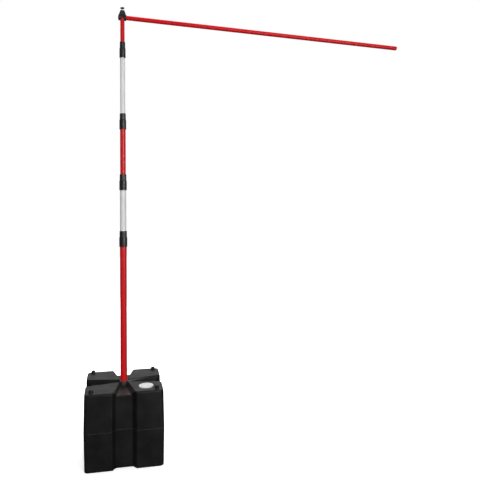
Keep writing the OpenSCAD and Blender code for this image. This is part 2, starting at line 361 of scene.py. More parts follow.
# ------------------------------------------------------------------------------------------------
# Shader helpers
# ------------------------------------------------------------------------------------------------

class Graph:
    """A node tree with short ways to add and join nodes."""

    def __init__(self, tree: bpy.types.NodeTree) -> None:
        """Wraps a node tree."""
        self.tree = tree

    def add(self, kind: str, inputs: Optional[dict] = None, **settings: object) -> bpy.types.Node:
        """Adds a node.

        Args:
            kind: the node's type.
            inputs: values or sockets, by the name or number of the input.
            settings: the node's own properties.

        Returns:
            The node.
        """
        node = self.tree.nodes.new(kind)
        for key, value in settings.items():
            setattr(node, key, value)
        for key, value in (inputs or {}).items():
            if isinstance(value, bpy.types.NodeSocket):
                self.join(value, node.inputs[key])
            else:
                node.inputs[key].default_value = value
        return node

    def join(self, source: bpy.types.NodeSocket, target: bpy.types.NodeSocket) -> None:
        """Links an output to an input."""
        self.tree.links.new(source, target)

    def math(self, operation: str, *values: Feed) -> bpy.types.NodeSocket:
        """Adds a Math node on values or sockets and returns its output."""
        node = self.add("ShaderNodeMath", dict(enumerate(values)), operation=operation)
        return node.outputs[0]

    def times(self, first: Feed, second: Feed) -> bpy.types.NodeSocket:
        """Multiplies two values or sockets."""
        return self.math("MULTIPLY", first, second)

    def plus(self, first: Feed, second: Feed) -> bpy.types.NodeSocket:
        """Adds two values or sockets."""
        return self.math("ADD", first, second)

    def ranged(self, value: Feed, low: Feed, high: Feed, out_low: float,
               out_high: float) -> bpy.types.NodeSocket:
        """Maps a value from one range to another, clamped, and returns the output."""
        node = self.add("ShaderNodeMapRange", {0: value, 1: low, 2: high, 3: out_low, 4: out_high})
        return node.outputs[0]

    def mixed(self, factor: Feed, first: Feed, second: Feed) -> bpy.types.NodeSocket:
        """Mixes two colours and returns the output."""
        node = self.add("ShaderNodeMix", {0: factor, 6: first, 7: second}, data_type="RGBA")
        return node.outputs[2]

    def noise(self, place: Feed, scale: Feed, detail: float = 3.0,
              roughness: float = 0.5) -> bpy.types.NodeSocket:
        """Adds a noise texture and returns its value."""
        values = {"Vector": place, "Scale": scale, "Detail": detail, "Roughness": roughness}
        return self.add("ShaderNodeTexNoise", values).outputs[0]

    def place(self) -> bpy.types.NodeSocket:
        """The point's place on the piece, in metres."""
        return self.add("ShaderNodeTexCoord").outputs["Object"]


def group(name: str, inputs: dict[str, float],
          outputs: Sequence[str]) -> tuple[bpy.types.NodeTree, Graph, dict, dict]:
    """Starts a shader node group.

    Args:
        name: the group's name.
        inputs: the default of each named input.
        outputs: the names of the outputs.

    Returns:
        The tree, its graph, the sockets that give the inputs, and those that take the outputs.
    """
    tree = bpy.data.node_groups.new(name, "ShaderNodeTree")
    for key, value in inputs.items():
        socket = tree.interface.new_socket(name=key, in_out="INPUT", socket_type="NodeSocketFloat")
        socket.default_value = value
    for key in outputs:
        tree.interface.new_socket(name=key, in_out="OUTPUT", socket_type="NodeSocketFloat")
    graph = Graph(tree)
    given = {s.name: s for s in graph.add("NodeGroupInput").outputs}
    taken = {s.name: s for s in graph.add("NodeGroupOutput").inputs}
    return tree, graph, given, taken


def make_grain() -> bpy.types.NodeTree:
    """Builds the moulded or coated surface grain: fine pebbles over a slow ripple.

    Returns:
        The group, which puts out a height.
    """
    inputs = {"Fineness": 900.0, "Ripple": 18.0, "Ripple share": 0.5}
    tree, graph, given, taken = group("grain", inputs, ["Height"])
    place = graph.place()
    pebbles = graph.noise(place, given["Fineness"], 2.0)
    ripple = graph.noise(place, given["Ripple"], 1.0)
    slow = graph.times(ripple, given["Ripple share"])
    graph.join(graph.plus(pebbles, slow), taken["Height"])
    return tree


def make_mottle() -> bpy.types.NodeTree:
    """Builds the cloudy variation of a colour or a gloss.

    Returns:
        The group, which puts out an amount from 0 to 1.
    """
    tree, graph, given, taken = group("mottle", {"Size": 9.0, "Contrast": 1.0}, ["Amount"])
    place = graph.place()
    clouds = graph.noise(place, given["Size"], 4.0, 0.6)
    centred = graph.math("SUBTRACT", clouds, 0.5)
    spread = graph.times(centred, given["Contrast"])
    amount = graph.add("ShaderNodeMath", {0: spread, 1: 0.5}, operation="ADD", use_clamp=True).outputs[0]
    graph.join(amount, taken["Amount"])
    return tree


def make_dust() -> bpy.types.NodeTree:
    """Builds the mask of dust that settles on what faces up.

    Returns:
        The group, which puts out a mask.
    """
    tree, graph, given, taken = group("dust", {"Amount": 0.3, "Patches": 30.0}, ["Mask"])
    normal = graph.add("ShaderNodeNewGeometry").outputs["Normal"]
    up = graph.add("ShaderNodeSeparateXYZ", {0: normal}).outputs[2]
    facing = graph.ranged(up, 0.55, 1.0, 0.0, 1.0)
    patches = graph.ranged(graph.noise(graph.place(), given["Patches"], 5.0, 0.65), 0.35, 0.75, 0.25, 1.0)
    mask = graph.times(graph.times(facing, patches), given["Amount"])
    graph.join(mask, taken["Mask"])
    return tree


def make_rub() -> bpy.types.NodeTree:
    """Builds the mask of fine rub marks that run along Z or along X.

    Returns:
        The group, which puts out a mask.
    """
    tree, graph, given, taken = group("rub", {"Along": 6.0, "Across": 700.0, "Sideways": 0.0}, ["Mask"])
    split = graph.add("ShaderNodeSeparateXYZ", {0: graph.place()})
    x, y, z = split.outputs
    upright = {0: graph.times(x, given["Across"]), 1: graph.times(y, given["Across"]),
               2: graph.times(z, given["Along"])}
    lying = {0: graph.times(x, given["Along"]), 1: graph.times(y, given["Across"]),
             2: graph.times(z, given["Across"])}
    mix = graph.add("ShaderNodeMix", {0: given["Sideways"]}, data_type="VECTOR")
    graph.join(graph.add("ShaderNodeCombineXYZ", upright).outputs[0], mix.inputs[4])
    graph.join(graph.add("ShaderNodeCombineXYZ", lying).outputs[0], mix.inputs[5])
    marks = graph.noise(mix.outputs[1], 1.0, 3.0, 0.7)
    graph.join(graph.ranged(marks, 0.58, 0.78, 0.0, 1.0), taken["Mask"])
    return tree


def make_edge() -> bpy.types.NodeTree:
    """Builds the mask of worn convex edges, broken up by noise.

    Returns:
        The group, which puts out a mask.
    """
    tree, graph, given, taken = group("edge wear", {"Start": 0.53, "Full": 0.6, "Breakup": 60.0}, ["Mask"])
    point = graph.add("ShaderNodeNewGeometry").outputs["Pointiness"]
    edge = graph.ranged(point, given["Start"], given["Full"], 0.0, 1.0)
    broken = graph.ranged(graph.noise(graph.place(), given["Breakup"], 4.0), 0.35, 0.65, 0.2, 1.0)
    graph.join(graph.times(edge, broken), taken["Mask"])
    return tree


EFFECTS = {
    "grain": make_grain(),
    "mottle": make_mottle(),
    "dust": make_dust(),
    "rub": make_rub(),
    "edge": make_edge(),
}


class Finish:
    """A material in the making: a Principled shader and short ways to feed it."""

    def __init__(self, name: str, colour: Colour, roughness: float, metallic: float = 0.0) -> None:
        """Starts a material.

        Args:
            name: the material's name.
            colour: plain colour, linear.
            roughness: plain roughness.
            metallic: 1 for bare metal.
        """
        self.material = bpy.data.materials.new(name)
        self.material.use_nodes = True
        self.material.diffuse_color = (*colour, 1.0)
        self.graph = Graph(self.material.node_tree)
        self.shader = self.material.node_tree.nodes["Principled BSDF"]
        self.shader.inputs["Base Color"].default_value = (*colour, 1.0)
        self.shader.inputs["Roughness"].default_value = roughness
        self.shader.inputs["Metallic"].default_value = metallic

    def effect(self, name: str, output: str, **values: float) -> bpy.types.NodeSocket:
        """Places a shared effect.

        Args:
            name: the effect's key in EFFECTS.
            output: the output wanted.
            values: the effect's inputs, with _ for a space.

        Returns:
            The output socket.
        """
        node = self.graph.add("ShaderNodeGroup", node_tree=EFFECTS[name])
        for key, value in values.items():
            node.inputs[key.replace("_", " ")].default_value = value
        return node.outputs[output]

    def feed(self, **sockets: bpy.types.NodeSocket) -> None:
        """Joins sockets to the shader's inputs, with _ for a space in the input's name."""
        for key, socket in sockets.items():
            self.graph.join(socket, self.shader.inputs[key.replace("_", " ")])

    def bump(self, height: bpy.types.NodeSocket, depth: float) -> None:
        """Adds a bump of a depth in metres."""
        node = self.graph.add("ShaderNodeBump", {"Strength": 1.0, "Distance": depth, "Height": height})
        self.feed(Normal=node.outputs[0])


# ------------------------------------------------------------------------------------------------
# Finishes
# ------------------------------------------------------------------------------------------------

class Paint(Enum):
    """The two colours of the powder-coated tubes."""

    RED = (0.51, 0.008, 0.011)
    WHITE = (0.62, 0.63, 0.62)


class Direction(Enum):
    """The way that a tube's rub marks run."""

    UPRIGHT = 0.0
    ALONG_BOOM = 1.0


@dataclass(frozen=True)
class MouldedTank:
    """Black rotationally moulded polyethylene with a cloudy satin skin."""

    colour: Colour = (0.0046, 0.0046, 0.0047)
    pale: Colour = (0.0085, 0.0085, 0.0085)
    dusty: Colour = (0.05, 0.048, 0.044)
    rubbed: Colour = (0.014, 0.014, 0.0145)
    wear: float = 0.3
    roughness: float = 0.4
    grain: float = 0.35 * MM
    sheen: float = 0.25

    def build(self) -> bpy.types.Material:
        """Returns the material."""
        finish = Finish("moulded_tank", self.colour, self.roughness)
        clouds = finish.effect("mottle", "Amount", Size=11.0, Contrast=2.2)
        edge = finish.effect("edge", "Mask", Start=0.52, Full=0.6, Breakup=45.0)
        dust = finish.effect("dust", "Mask", Amount=0.22, Patches=26.0)
        skin = finish.graph.mixed(clouds, (*self.colour, 1.0), (*self.pale, 1.0))
        edged = finish.graph.mixed(finish.graph.times(edge, self.wear), skin, (*self.rubbed, 1.0))
        finish.feed(Base_Color=finish.graph.mixed(dust, edged, (*self.dusty, 1.0)))
        gloss = finish.graph.ranged(clouds, 0.0, 1.0, self.roughness - 0.05, self.roughness + 0.1)
        finish.feed(Roughness=finish.graph.plus(gloss, finish.graph.times(dust, 0.5)))
        pebbles = finish.effect("grain", "Height", Fineness=420.0, Ripple=26.0, Ripple_share=2.5)
        finish.bump(pebbles, self.grain)
        finish.shader.inputs["Specular IOR Level"].default_value = self.sheen
        return finish.material


@dataclass(frozen=True)
class PowderCoat:
    """Powder-coated steel tube with a faint orange peel and fine rub marks."""

    paint: Paint
    direction: Direction = Direction.UPRIGHT
    roughness: float = 0.3
    sheen: float = 0.25
    peel: float = 0.05 * MM
    deepening: float = 0.86
    wear: float = 0.22

    def build(self) -> bpy.types.Material:
        """Returns the material."""
        name = f"powder_coat_{self.paint.name.lower()}_{self.direction.name.lower()}"
        colour = self.paint.value
        finish = Finish(name, colour, self.roughness)
        clouds = finish.effect("mottle", "Amount", Size=5.0, Contrast=1.4)
        rub = finish.effect("rub", "Mask", Sideways=self.direction.value)
        deep = tuple(self.deepening * c for c in colour)
        worn = tuple(0.8 * c + 0.05 for c in colour)
        coat = finish.graph.mixed(clouds, (*colour, 1.0), (*deep, 1.0))
        finish.feed(Base_Color=finish.graph.mixed(finish.graph.times(rub, self.wear), coat, (*worn, 1.0)))
        gloss = finish.graph.ranged(clouds, 0.0, 1.0, self.roughness - 0.03, self.roughness + 0.06)
        finish.feed(Roughness=finish.graph.plus(gloss, finish.graph.times(rub, 0.12)))
        peel = finish.effect("grain", "Height", Fineness=620.0, Ripple=60.0, Ripple_share=0.6)
        finish.bump(peel, self.peel)
        finish.shader.inputs["Specular IOR Level"].default_value = self.sheen
        return finish.material


@dataclass(frozen=True)
class Moulding:
    """Injection-moulded plastic or rubber with a fine spark-eroded grain."""

    name: str
    colour: Colour
    roughness: float
    grain: float = 0.06 * MM
    fineness: float = 1600.0
    edge_tint: float = 0.06
    wear: float = 0.5
    dust: float = 0.1
    dusty: Colour = (0.22, 0.21, 0.195)

    def build(self) -> bpy.types.Material:
        """Returns the material."""
        finish = Finish(self.name, self.colour, self.roughness)
        clouds = finish.effect("mottle", "Amount", Size=40.0, Contrast=1.6)
        edge = finish.effect("edge", "Mask", Start=0.52, Full=0.62, Breakup=220.0)
        dust = finish.effect("dust", "Mask", Amount=self.dust, Patches=90.0)
        pale = tuple(min(1.0, 1.12 * c + 0.004) for c in self.colour)
        rubbed = tuple(min(1.0, c + self.edge_tint) for c in self.colour)
        body = finish.graph.mixed(clouds, (*self.colour, 1.0), (*pale, 1.0))
        edged = finish.graph.mixed(finish.graph.times(edge, self.wear), body, (*rubbed, 1.0))
        finish.feed(Base_Color=finish.graph.mixed(dust, edged, (*self.dusty, 1.0)))
        gloss = finish.graph.ranged(clouds, 0.0, 1.0, self.roughness - 0.05, self.roughness + 0.07)
        finish.feed(Roughness=gloss)
        pebbles = finish.effect("grain", "Height", Fineness=self.fineness, Ripple=90.0, Ripple_share=0.4)
        finish.bump(pebbles, self.grain)
        return finish.material


@dataclass(frozen=True)
class PlatedSteel:
    """Zinc-plated steel with fine turning marks and cloudy plating."""

    name: str
    colour: Colour
    dull: Colour
    roughness: float = 0.3
    metallic: float = 0.65
    grain: float = 0.02 * MM

    def build(self) -> bpy.types.Material:
        """Returns the material."""
        finish = Finish(self.name, self.colour, self.roughness, self.metallic)
        clouds = finish.effect("mottle", "Amount", Size=160.0, Contrast=2.0)
        rub = finish.effect("rub", "Mask", Along=900.0, Across=160.0)
        plating = finish.graph.mixed(clouds, (*self.colour, 1.0), (*self.dull, 1.0))
        finish.feed(Base_Color=plating)
        gloss = finish.graph.ranged(clouds, 0.0, 1.0, self.roughness - 0.08, self.roughness + 0.12)
        finish.feed(Roughness=finish.graph.plus(gloss, finish.graph.times(rub, 0.15)))
        marks = finish.effect("grain", "Height", Fineness=2600.0, Ripple=300.0, Ripple_share=0.5)
        finish.bump(marks, self.grain)
        return finish.material


@dataclass(frozen=True)
class Water:
    """The water that fills the tank."""

    colour: Colour = (0.30, 0.42, 0.45)
    deep: Colour = (0.22, 0.34, 0.38)
    ripple: float = 0.6 * MM

    def build(self) -> bpy.types.Material:
        """Returns the material."""
        finish = Finish("water_fill", self.colour, 0.05)
        ripples = finish.effect("grain", "Height", Fineness=60.0, Ripple=12.0, Ripple_share=1.0)
        finish.bump(ripples, self.ripple)
        depth = finish.effect("mottle", "Amount", Size=6.0, Contrast=1.0)
        finish.feed(Base_Color=finish.graph.mixed(depth, (*self.colour, 1.0), (*self.deep, 1.0)))
        return finish.material


TANK = MouldedTank().build()
FLASH = Moulding("mould_flash", (0.008, 0.008, 0.008), 0.5, grain=0.2 * MM, fineness=500.0).build()
RED_UPRIGHT = PowderCoat(Paint.RED).build()
RED_BOOM = PowderCoat(Paint.RED, Direction.ALONG_BOOM, sheen=0.12).build()
WHITE_UPRIGHT = PowderCoat(Paint.WHITE).build()
SOCKET_PLASTIC = Moulding("socket_plastic", (0.016, 0.016, 0.017), 0.42).build()
LOCK_PLASTIC = Moulding("lock_plastic", (0.0085, 0.0085, 0.009), 0.42).build()
HEAD_PLASTIC = Moulding("head_plastic", (0.010, 0.010, 0.0105), 0.4).build()
BUSH_PLASTIC = Moulding("bush_plastic", (0.03, 0.03, 0.03), 0.45).build()
COLLET_NYLON = Moulding("collet_nylon", (0.62, 0.59, 0.5), 0.4).build()
CAP_PLASTIC = Moulding("cap_plastic", (0.54, 0.545, 0.54), 0.34, dust=0.04, edge_tint=0.04).build()
PLUG_PLASTIC = Moulding("plug_plastic", (0.50, 0.012, 0.014), 0.32, edge_tint=0.05, dust=0.02).build()
SEAL_RUBBER = Moulding("seal_rubber", (0.03, 0.03, 0.03), 0.7, grain=0.1 * MM).build()
ZINC = PlatedSteel("zinc_plating", (0.88, 0.88, 0.87), (0.76, 0.76, 0.74), 0.45).build()
WATER = Water().build()


def dress(piece: bpy.types.Object, material: bpy.types.Material) -> bpy.types.Object:
    """Gives a piece one material.

    Args:
        piece: the mesh.
        material: its finish.

    Returns:
        The piece.
    """
    piece.data.materials.clear()
    piece.data.materials.append(material)
    return piece


def keep(node: str, material: bpy.types.Material) -> None:
    """Keeps a CAD node as it is, with a finished material.

    Args:
        node: the CAD node's name.
        material: its finish.
    """
    dress(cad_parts[node], material)
    log.info("kept %s", node)


def stand_for(piece: bpy.types.Object, node: str, body: str, material: bpy.types.Material) -> None:
    """Lets a piece stand for a CAD node.

    Args:
        piece: the detailed piece.
        node: the CAD node that it stands for.
        body: the body that it rides on.
        material: its finish.
    """
    dress(piece, material)
    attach(piece, body)
    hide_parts(node)
    log.info("built %s for %s", piece.name, node)


# ------------------------------------------------------------------------------------------------
# Ballast tank
# ------------------------------------------------------------------------------------------------

@dataclass
class BallastTank:
    """The four-lobed tank: a drafted block with a channel in each side and four grooves across its top."""

    draft: float = 0.004
    corner: float = 0.024
    corner_steps: int = 8
    bevel: float = 0.0103
    foot_bevel: float = 0.0023
    mouth: float = 0.150
    floor: float = 0.105
    depth: float = 0.033
    groove_out: float = 0.028
    groove_hub: float = 0.027
    groove_rise: float = 0.002
    hub_width: float = 0.044
    hub_slope: float = 0.4
    stud_radius: float = 0.0135
    stud_height: float = 0.020
    stud_root: float = 0.006
    stud_round: float = 0.004
    stud_inset: float = 0.041
    recess_radius: float = 0.0500
    recess_depth: float = 0.008
    well_bottom: float = 0.38
    voxel: float = 0.0032
    passes: int = 6
    flash_width: float = 0.0026
    flash_proud: float = 0.0004
    flash_root: float = 0.0015
    high: Vector = field(default_factory=lambda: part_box("ballast_tank")[1])

    @property
    def half(self) -> float:
        """Half the width at the parting line."""
        return self.high.x

    @property
    def top(self) -> float:
        """Height of the flat tops of the lobes."""
        return self.high.z - self.stud_height

    @property
    def parting(self) -> float:
        """Height of the mould's parting line."""
        return self.top / 2

    def ring(self, half: float, z: float) -> list[tuple[float, float, float]]:
        """Makes a square ring with round corners at one height.

        Args:
            half: half its width.
            z: its height.

        Returns:
            The points of the ring.
        """
        points = []
        for quarter in range(4):
            centre = Vector((half - self.corner, half - self.corner))
            for step in range(self.corner_steps + 1):
                angle = math.radians(90 * step / self.corner_steps)
                point = centre + self.corner * Vector((math.cos(angle), math.sin(angle)))
                point.rotate(Matrix.Rotation(math.radians(90 * quarter), 2))
                points.append((point.x, point.y, z))
        return points

    def block(self) -> bpy.types.Object:
        """Builds the drafted block with bevelled top and bottom edges.

        Returns:
            The closed block.
        """
        leans = [math.radians(lean) for lean in range(0, 91, 15)]
        end = self.half - self.draft
        levels = [(end - self.foot_bevel * (1 - math.sin(a)), self.foot_bevel * (1 - math.cos(a)))
                  for a in leans]
        levels.append((self.half, self.parting))
        levels += [(end - self.bevel * (1 - math.sin(a)), self.top - self.bevel * (1 - math.cos(a)))
                   for a in reversed(leans)]
        rings = [self.ring(half, z) for half, z in levels]
        count = len(rings[0])
        vertices = [p for ring in rings for p in ring]
        faces = [tuple(range(count))[::-1], tuple(range((len(rings) - 1) * count, len(rings) * count))]
        for level in range(len(rings) - 1):
            for i in range(count):
                j = (i + 1) % count
                base, above = level * count, (level + 1) * count
                faces.append((base + i, base + j, above + j, above + i))
        return mesh_object("tank_shell", vertices, faces)

    def channel(self, turn: float) -> bpy.types.Object:
        """Builds the cutter of one side channel.

        Args:
            turn: which side, as a turn about Z.

        Returns:
            The cutter.
        """
        reach = self.half + OVERSHOOT
        end = self.half - self.draft
        slope = (self.mouth - self.floor) / 2 / self.depth
        wide = self.mouth / 2 + slope * (reach - end)
        deep = end - self.depth
        outline = [(-wide, -reach), (wide, -reach), (self.floor / 2, -deep), (-self.floor / 2, -deep)]
        cutter = prism("channel", outline, -OVERSHOOT, self.high.z + OVERSHOOT)
        return moved(cutter, Matrix.Rotation(turn, 4, "Z"))

    def groove(self, turn: float) -> bpy.types.Object:
        """Builds the cutter of one top groove, from the mast to the side.

        Args:
            turn: which side, as a turn about Z.

        Returns:
            The cutter.
        """
        out = self.half + OVERSHOOT
        above = self.top + self.groove_rise
        hub_floor = self.hub_width / 2 - self.hub_slope * self.groove_hub
        hub_z = self.top - self.groove_hub
        end_z = self.top - self.groove_out
        vertices = [
            (-hub_floor, 0, hub_z), (hub_floor, 0, hub_z),
            (self.hub_width / 2, 0, above), (-self.hub_width / 2, 0, above),
            (-self.floor / 2, -out, end_z), (self.floor / 2, -out, end_z),
            (self.mouth / 2, -out, above), (-self.mouth / 2, -out, above),
        ]
        faces = [(0, 1, 2, 3), (7, 6, 5, 4), (1, 0, 4, 5), (2, 1, 5, 6), (3, 2, 6, 7), (0, 3, 7, 4)]
        return moved(mesh_object("groove", vertices, faces), Matrix.Rotation(turn, 4, "Z"))

    def well(self, x: float, y: float, radius: float, bottom: float) -> bpy.types.Object:
        """Builds a round cutter from a height up through the top.

        Args:
            x: its axis' place along X.
            y: its axis' place along Y.
            radius: its radius.
            bottom: height of its floor.

        Returns:
            The cutter.
        """
        above = self.top + OVERSHOOT
        outline = [(0.0, bottom), (radius, bottom), (radius, above), (0.0, above)]
        return moved(lathe("well", outline, 64), Matrix.Translation((x, y, 0)))

    def stud(self, x: float, y: float) -> bpy.types.Object:
        """Builds one stacking stud, rooted in the lobe.

        Args:
            x: its axis' place along X.
            y: its axis' place along Y.

        Returns:
            The stud.
        """
        root = self.top - self.stud_root
        corners = [(0.0, root, 0.0), (self.stud_radius, root, 0.0),
                   (self.stud_radius, self.high.z, self.stud_round), (0.0, self.high.z, 0.0)]
        return moved(lathe("stud", rounded(corners), 48), Matrix.Translation((x, y, 0)))

    def shell(self) -> bpy.types.Object:
        """Builds the whole outer skin with its wells, softened like a moulding.

        Returns:
            The tank as one closed skin.
        """
        turns = [math.radians(90 * i) for i in range(4)]
        socket_low, socket_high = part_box("mast_socket")
        neck_low, neck_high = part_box("filler_neck")
        neck = (neck_low + neck_high) / 2
        cutters = [self.channel(turn) for turn in turns] + [self.groove(turn) for turn in turns]
        cutters.append(self.well(0, 0, socket_high.x, socket_low.z))
        cutters.append(self.well(neck.x, neck.y, self.recess_radius, self.top - self.recess_depth))
        cutters.append(self.well(neck.x, neck.y, neck_high.x - neck.x, self.well_bottom))
        body = cut(self.block(), cutters)
        signs = (-1, 1)
        offset = self.half - self.draft - self.stud_inset
        studs = [self.stud(x * offset, y * offset) for x in signs for y in signs]
        return softened(joined("tank_shell", [body, *studs]), self.voxel, self.passes)

    def flash(self, shell: bpy.types.Object) -> bpy.types.Object:
        """Builds the thin raised line that the two mould halves leave around the tank.

        Args:
            shell: the finished tank, whose outline the line follows.

        Returns:
            The line as a closed band.
        """
        loop = outline_at(shell, self.parting)
        count = len(loop)
        root = -self.flash_root
        proud = self.flash_proud
        section = [(root, -0.5), (0.35 * proud, -0.5), (proud, -0.22),
                   (proud, 0.22), (0.35 * proud, 0.5), (root, 0.5)]
        vertices = []
        for i, point in enumerate(loop):
            along = loop[(i + 1) % count] - loop[i - 1]
            outwards = Vector((along.y, -along.x)).normalized()
            for out, up in section:
                place = point + outwards * out
                vertices.append((place.x, place.y, self.parting + up * self.flash_width))
        sides = len(section)
        faces = [(i * sides + j, i * sides + (j + 1) % sides, (i + 1) % count * sides + (j + 1) % sides,
                  (i + 1) % count * sides + j) for i in range(count) for j in range(sides)]
        return smooth(mesh_object("parting_line", vertices, faces), 60)

    def build(self) -> None:
        """Builds the tank and dresses what is inside it."""
        shell = self.shell()
        flash = dress(self.flash(shell), FLASH)
        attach(flash, "base")
        stand_for(shell, "ballast_tank", "base", TANK)
        keep("water_ballast", WATER)
        keep("mast_socket", SOCKET_PLASTIC)


# ------------------------------------------------------------------------------------------------
# Filler
# ------------------------------------------------------------------------------------------------

@dataclass
class Filler:
    """The threaded neck, its seal and the ribbed white cap."""

    ribs: int = 48
    rib_depth: float = 0.0008
    rib_band: float = 0.0012
    rib_stop: float = 0.0016
    pitch: float = 0.004
    thread_depth: float = 0.0011
    thread_stop: float = 0.001
    skin: float = 0.0002
    fade: float = 0.002
    plate: float = 0.004
    dish_depth: float = 0.0012
    rim_slope: float = 0.005
    rim_width: float = 0.008
    neck_gap: float = 0.0004
    neck_wall: float = 0.004
    ring_radius: float = 0.033
    ring_depth: float = 0.0009

    def cap(self) -> bpy.types.Object:
        """Builds the cap: a dished top with a raised rim, and a ribbed skirt.

        Returns:
            The cap in its place.
        """
        low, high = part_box("filler_cap")
        outer = (high.x - low.x) / 2
        inner = (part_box("filler_neck")[1].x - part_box("filler_neck")[0].x) / 2 + self.neck_gap
        under = high.z - self.plate
        dish = high.z - self.dish_depth
        ring = dish - self.ring_depth
        corners = [
            (0.0, dish + 0.0004, 0.0), (0.0, under, 0.0), (inner, under, 0.001), (inner, low.z, 0.0004),
            (outer, low.z, 0.0006), (outer, high.z - 0.0003, 0.0028),
            (outer - self.rim_slope, high.z, 0.0015), (outer - self.rim_width, dish, 0.0015),
            (self.ring_radius + 0.002, dish, 0.0008),
            (self.ring_radius + 0.001, ring, 0.0008), (self.ring_radius - 0.001, ring, 0.0008),
            (self.ring_radius - 0.002, dish, 0.0008),
        ]
        outline = refined(rounded(corners), 0.002)

        def ribbed(angle: float, r: float, z: float) -> float:
            """Presses grip ribs into the outside of the skirt.

            Args:
                angle: the angle about the axis.
                r: the plain radius.
                z: the height.

            Returns:
                The radius to use.
            """
            side = clamped((r - outer + self.rib_band) / self.rib_band)
            fade = clamped((high.z - self.rib_stop - z) / self.fade)
            wave = 0.5 + 0.5 * math.cos(self.ribs * angle)
            return r - self.rib_depth * side * fade * wave ** 2

        place = middle("filler_cap")
        turned = lathe("cap_body", outline, self.ribs * 8, ribbed)
        return moved(turned, Matrix.Translation((place.x, place.y, 0)))

    def neck(self) -> bpy.types.Object:
        """Builds the neck, with a coarse thread on the outside above the tank's recess.

        Returns:
            The neck in its place.
        """
        low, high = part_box("filler_neck")
        outer = (high.x - low.x) / 2
        bore = outer - self.neck_wall
        corners = [
            (bore, low.z, 0.0008), (outer, low.z, 0.0008), (outer, high.z, 0.0009), (bore, high.z, 0.0009),
        ]
        outline = refined(rounded(corners, 4), 0.0006)
        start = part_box("filler_cap")[0].z

        def threaded(angle: float, r: float, z: float) -> float:
            """Turns the thread, which fades in above the recess and out below the rim.

            Args:
                angle: the angle about the axis.
                r: the plain radius.
                z: the height.

            Returns:
                The radius to use.
            """
            on_outside = r > outer - self.skin
            fade_in = clamped((z - start) / self.fade)
            fade_out = clamped((high.z - self.thread_stop - z) / self.fade)
            wave = 0.5 + 0.5 * math.cos(math.tau * z / self.pitch - angle)
            return r - self.thread_depth * (fade_in * fade_out) * wave if on_outside else r

        place = middle("filler_neck")
        return moved(lathe("neck_ring", outline, 144, threaded), Matrix.Translation((place.x, place.y, 0)))

    def build(self) -> None:
        """Builds and dresses the filler."""
        stand_for(self.cap(), "filler_cap", "filler_cap", CAP_PLASTIC)
        stand_for(self.neck(), "filler_neck", "base", SOCKET_PLASTIC)
        keep("filler_seal", SEAL_RUBBER)


# ------------------------------------------------------------------------------------------------
# Mast
# ------------------------------------------------------------------------------------------------

@dataclass
class TwistLock:
    """One lock: a sleeve on the end of a tube, and the fluted nut that turns on it."""

    number: int
    flutes: int = 12
    flute_depth: float = 0.0009
    flute_start: float = 0.0008
    flute_band: float = 0.0006
    wall: float = 0.004
    edge: float = 0.0016
    nut_taper: float = 0.0006
    ring_heights: tuple[float, float] = (0.008, 0.012)
    ring_width: float = 0.0016
    ring_depth: float = 0.0006
    clearance: float = 0.0004
    seat: float = 0.0008
    seat_depth: float = 0.003
    collar: float = 0.0021
    nut_bore: float = 0.0022
    lip: float = 0.004

    def sleeve(self) -> bpy.types.Object:
        """Builds the sleeve, with two fine rings pressed in near its foot.

        Returns:
            The sleeve.
        """
        low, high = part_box(f"lock_sleeve_{self.number}")
        nut_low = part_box(f"lock_nut_{self.number}")[0].z
        outer = high.x
        tube = outer - self.wall
        next_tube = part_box(f"mast_tube_{self.number + 1}")[1].x
        shoulder = nut_low - self.clearance
        rings = []
        for height in self.ring_heights:
            foot = low.z + height
            rings += [(outer, foot, 0.0004), (outer - self.ring_depth, foot + self.ring_width / 2, 0.0006),
                      (outer, foot + self.ring_width, 0.0004)]
        corners = [
            (tube, low.z, 0.0004), (outer, low.z, self.edge), *rings,
            (outer, shoulder, self.edge * 1.6), (next_tube + self.collar, shoulder, 0.0003),
            (next_tube + self.collar, high.z, 0.0004), (next_tube + self.seat, high.z, 0.0004),
            (next_tube + self.seat, shoulder - self.seat_depth, 0.0), (tube, shoulder - self.seat_depth, 0.0),
        ]
        return lathe(f"sleeve_{self.number}", rounded(corners, 5), 96)

    def nut(self) -> bpy.types.Object:
        """Builds the nut: slightly tapered, with grip flutes that run out at both ends.

        Returns:
            The nut.
        """
        low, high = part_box(f"lock_nut_{self.number}")
        next_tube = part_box(f"mast_tube_{self.number + 1}")[1].x
        outer = next_tube + self.wall
        bore = next_tube + self.nut_bore
        throat = next_tube + self.clearance
        under = high.z - self.lip
        corners = [
            (bore, low.z, 0.0003), (outer, low.z, 0.0008), (outer - self.nut_taper, high.z, self.edge * 1.3),
            (throat, high.z, 0.0005), (throat, under, 0.0003), (bore - 0.001, under, 0.0003),
            (bore, high.z - 0.010, 0.0006),
        ]
        outline = refined(rounded(corners, 5), 0.0025)
        span = high.z - low.z

        def fluted(angle: float, r: float, z: float) -> float:
            """Presses the flutes into the outside, deepest at mid height.

            Args:
                angle: the angle about the axis.
                r: the plain radius.
                z: the height.

            Returns:
                The radius to use.
            """
            outside = clamped((r - bore - self.flute_start) / self.flute_band)
            reach = max(0.0, math.sin(math.pi * (z - low.z) / span)) ** 0.35
            wave = max(0.0, math.cos(self.flutes * angle)) ** 1.5
            return r - self.flute_depth * outside * reach * wave

        return lathe(f"nut_{self.number}", outline, self.flutes * 12, fluted)

    def build(self) -> None:
        """Builds and dresses the lock."""
        mast = f"mast_{self.number}"
        nut = f"lock_nut_{self.number}"
        stand_for(self.sleeve(), f"lock_sleeve_{self.number}", mast, LOCK_PLASTIC)
        stand_for(self.nut(), nut, nut, LOCK_PLASTIC)
        keep(f"lock_collet_{self.number}", COLLET_NYLON)


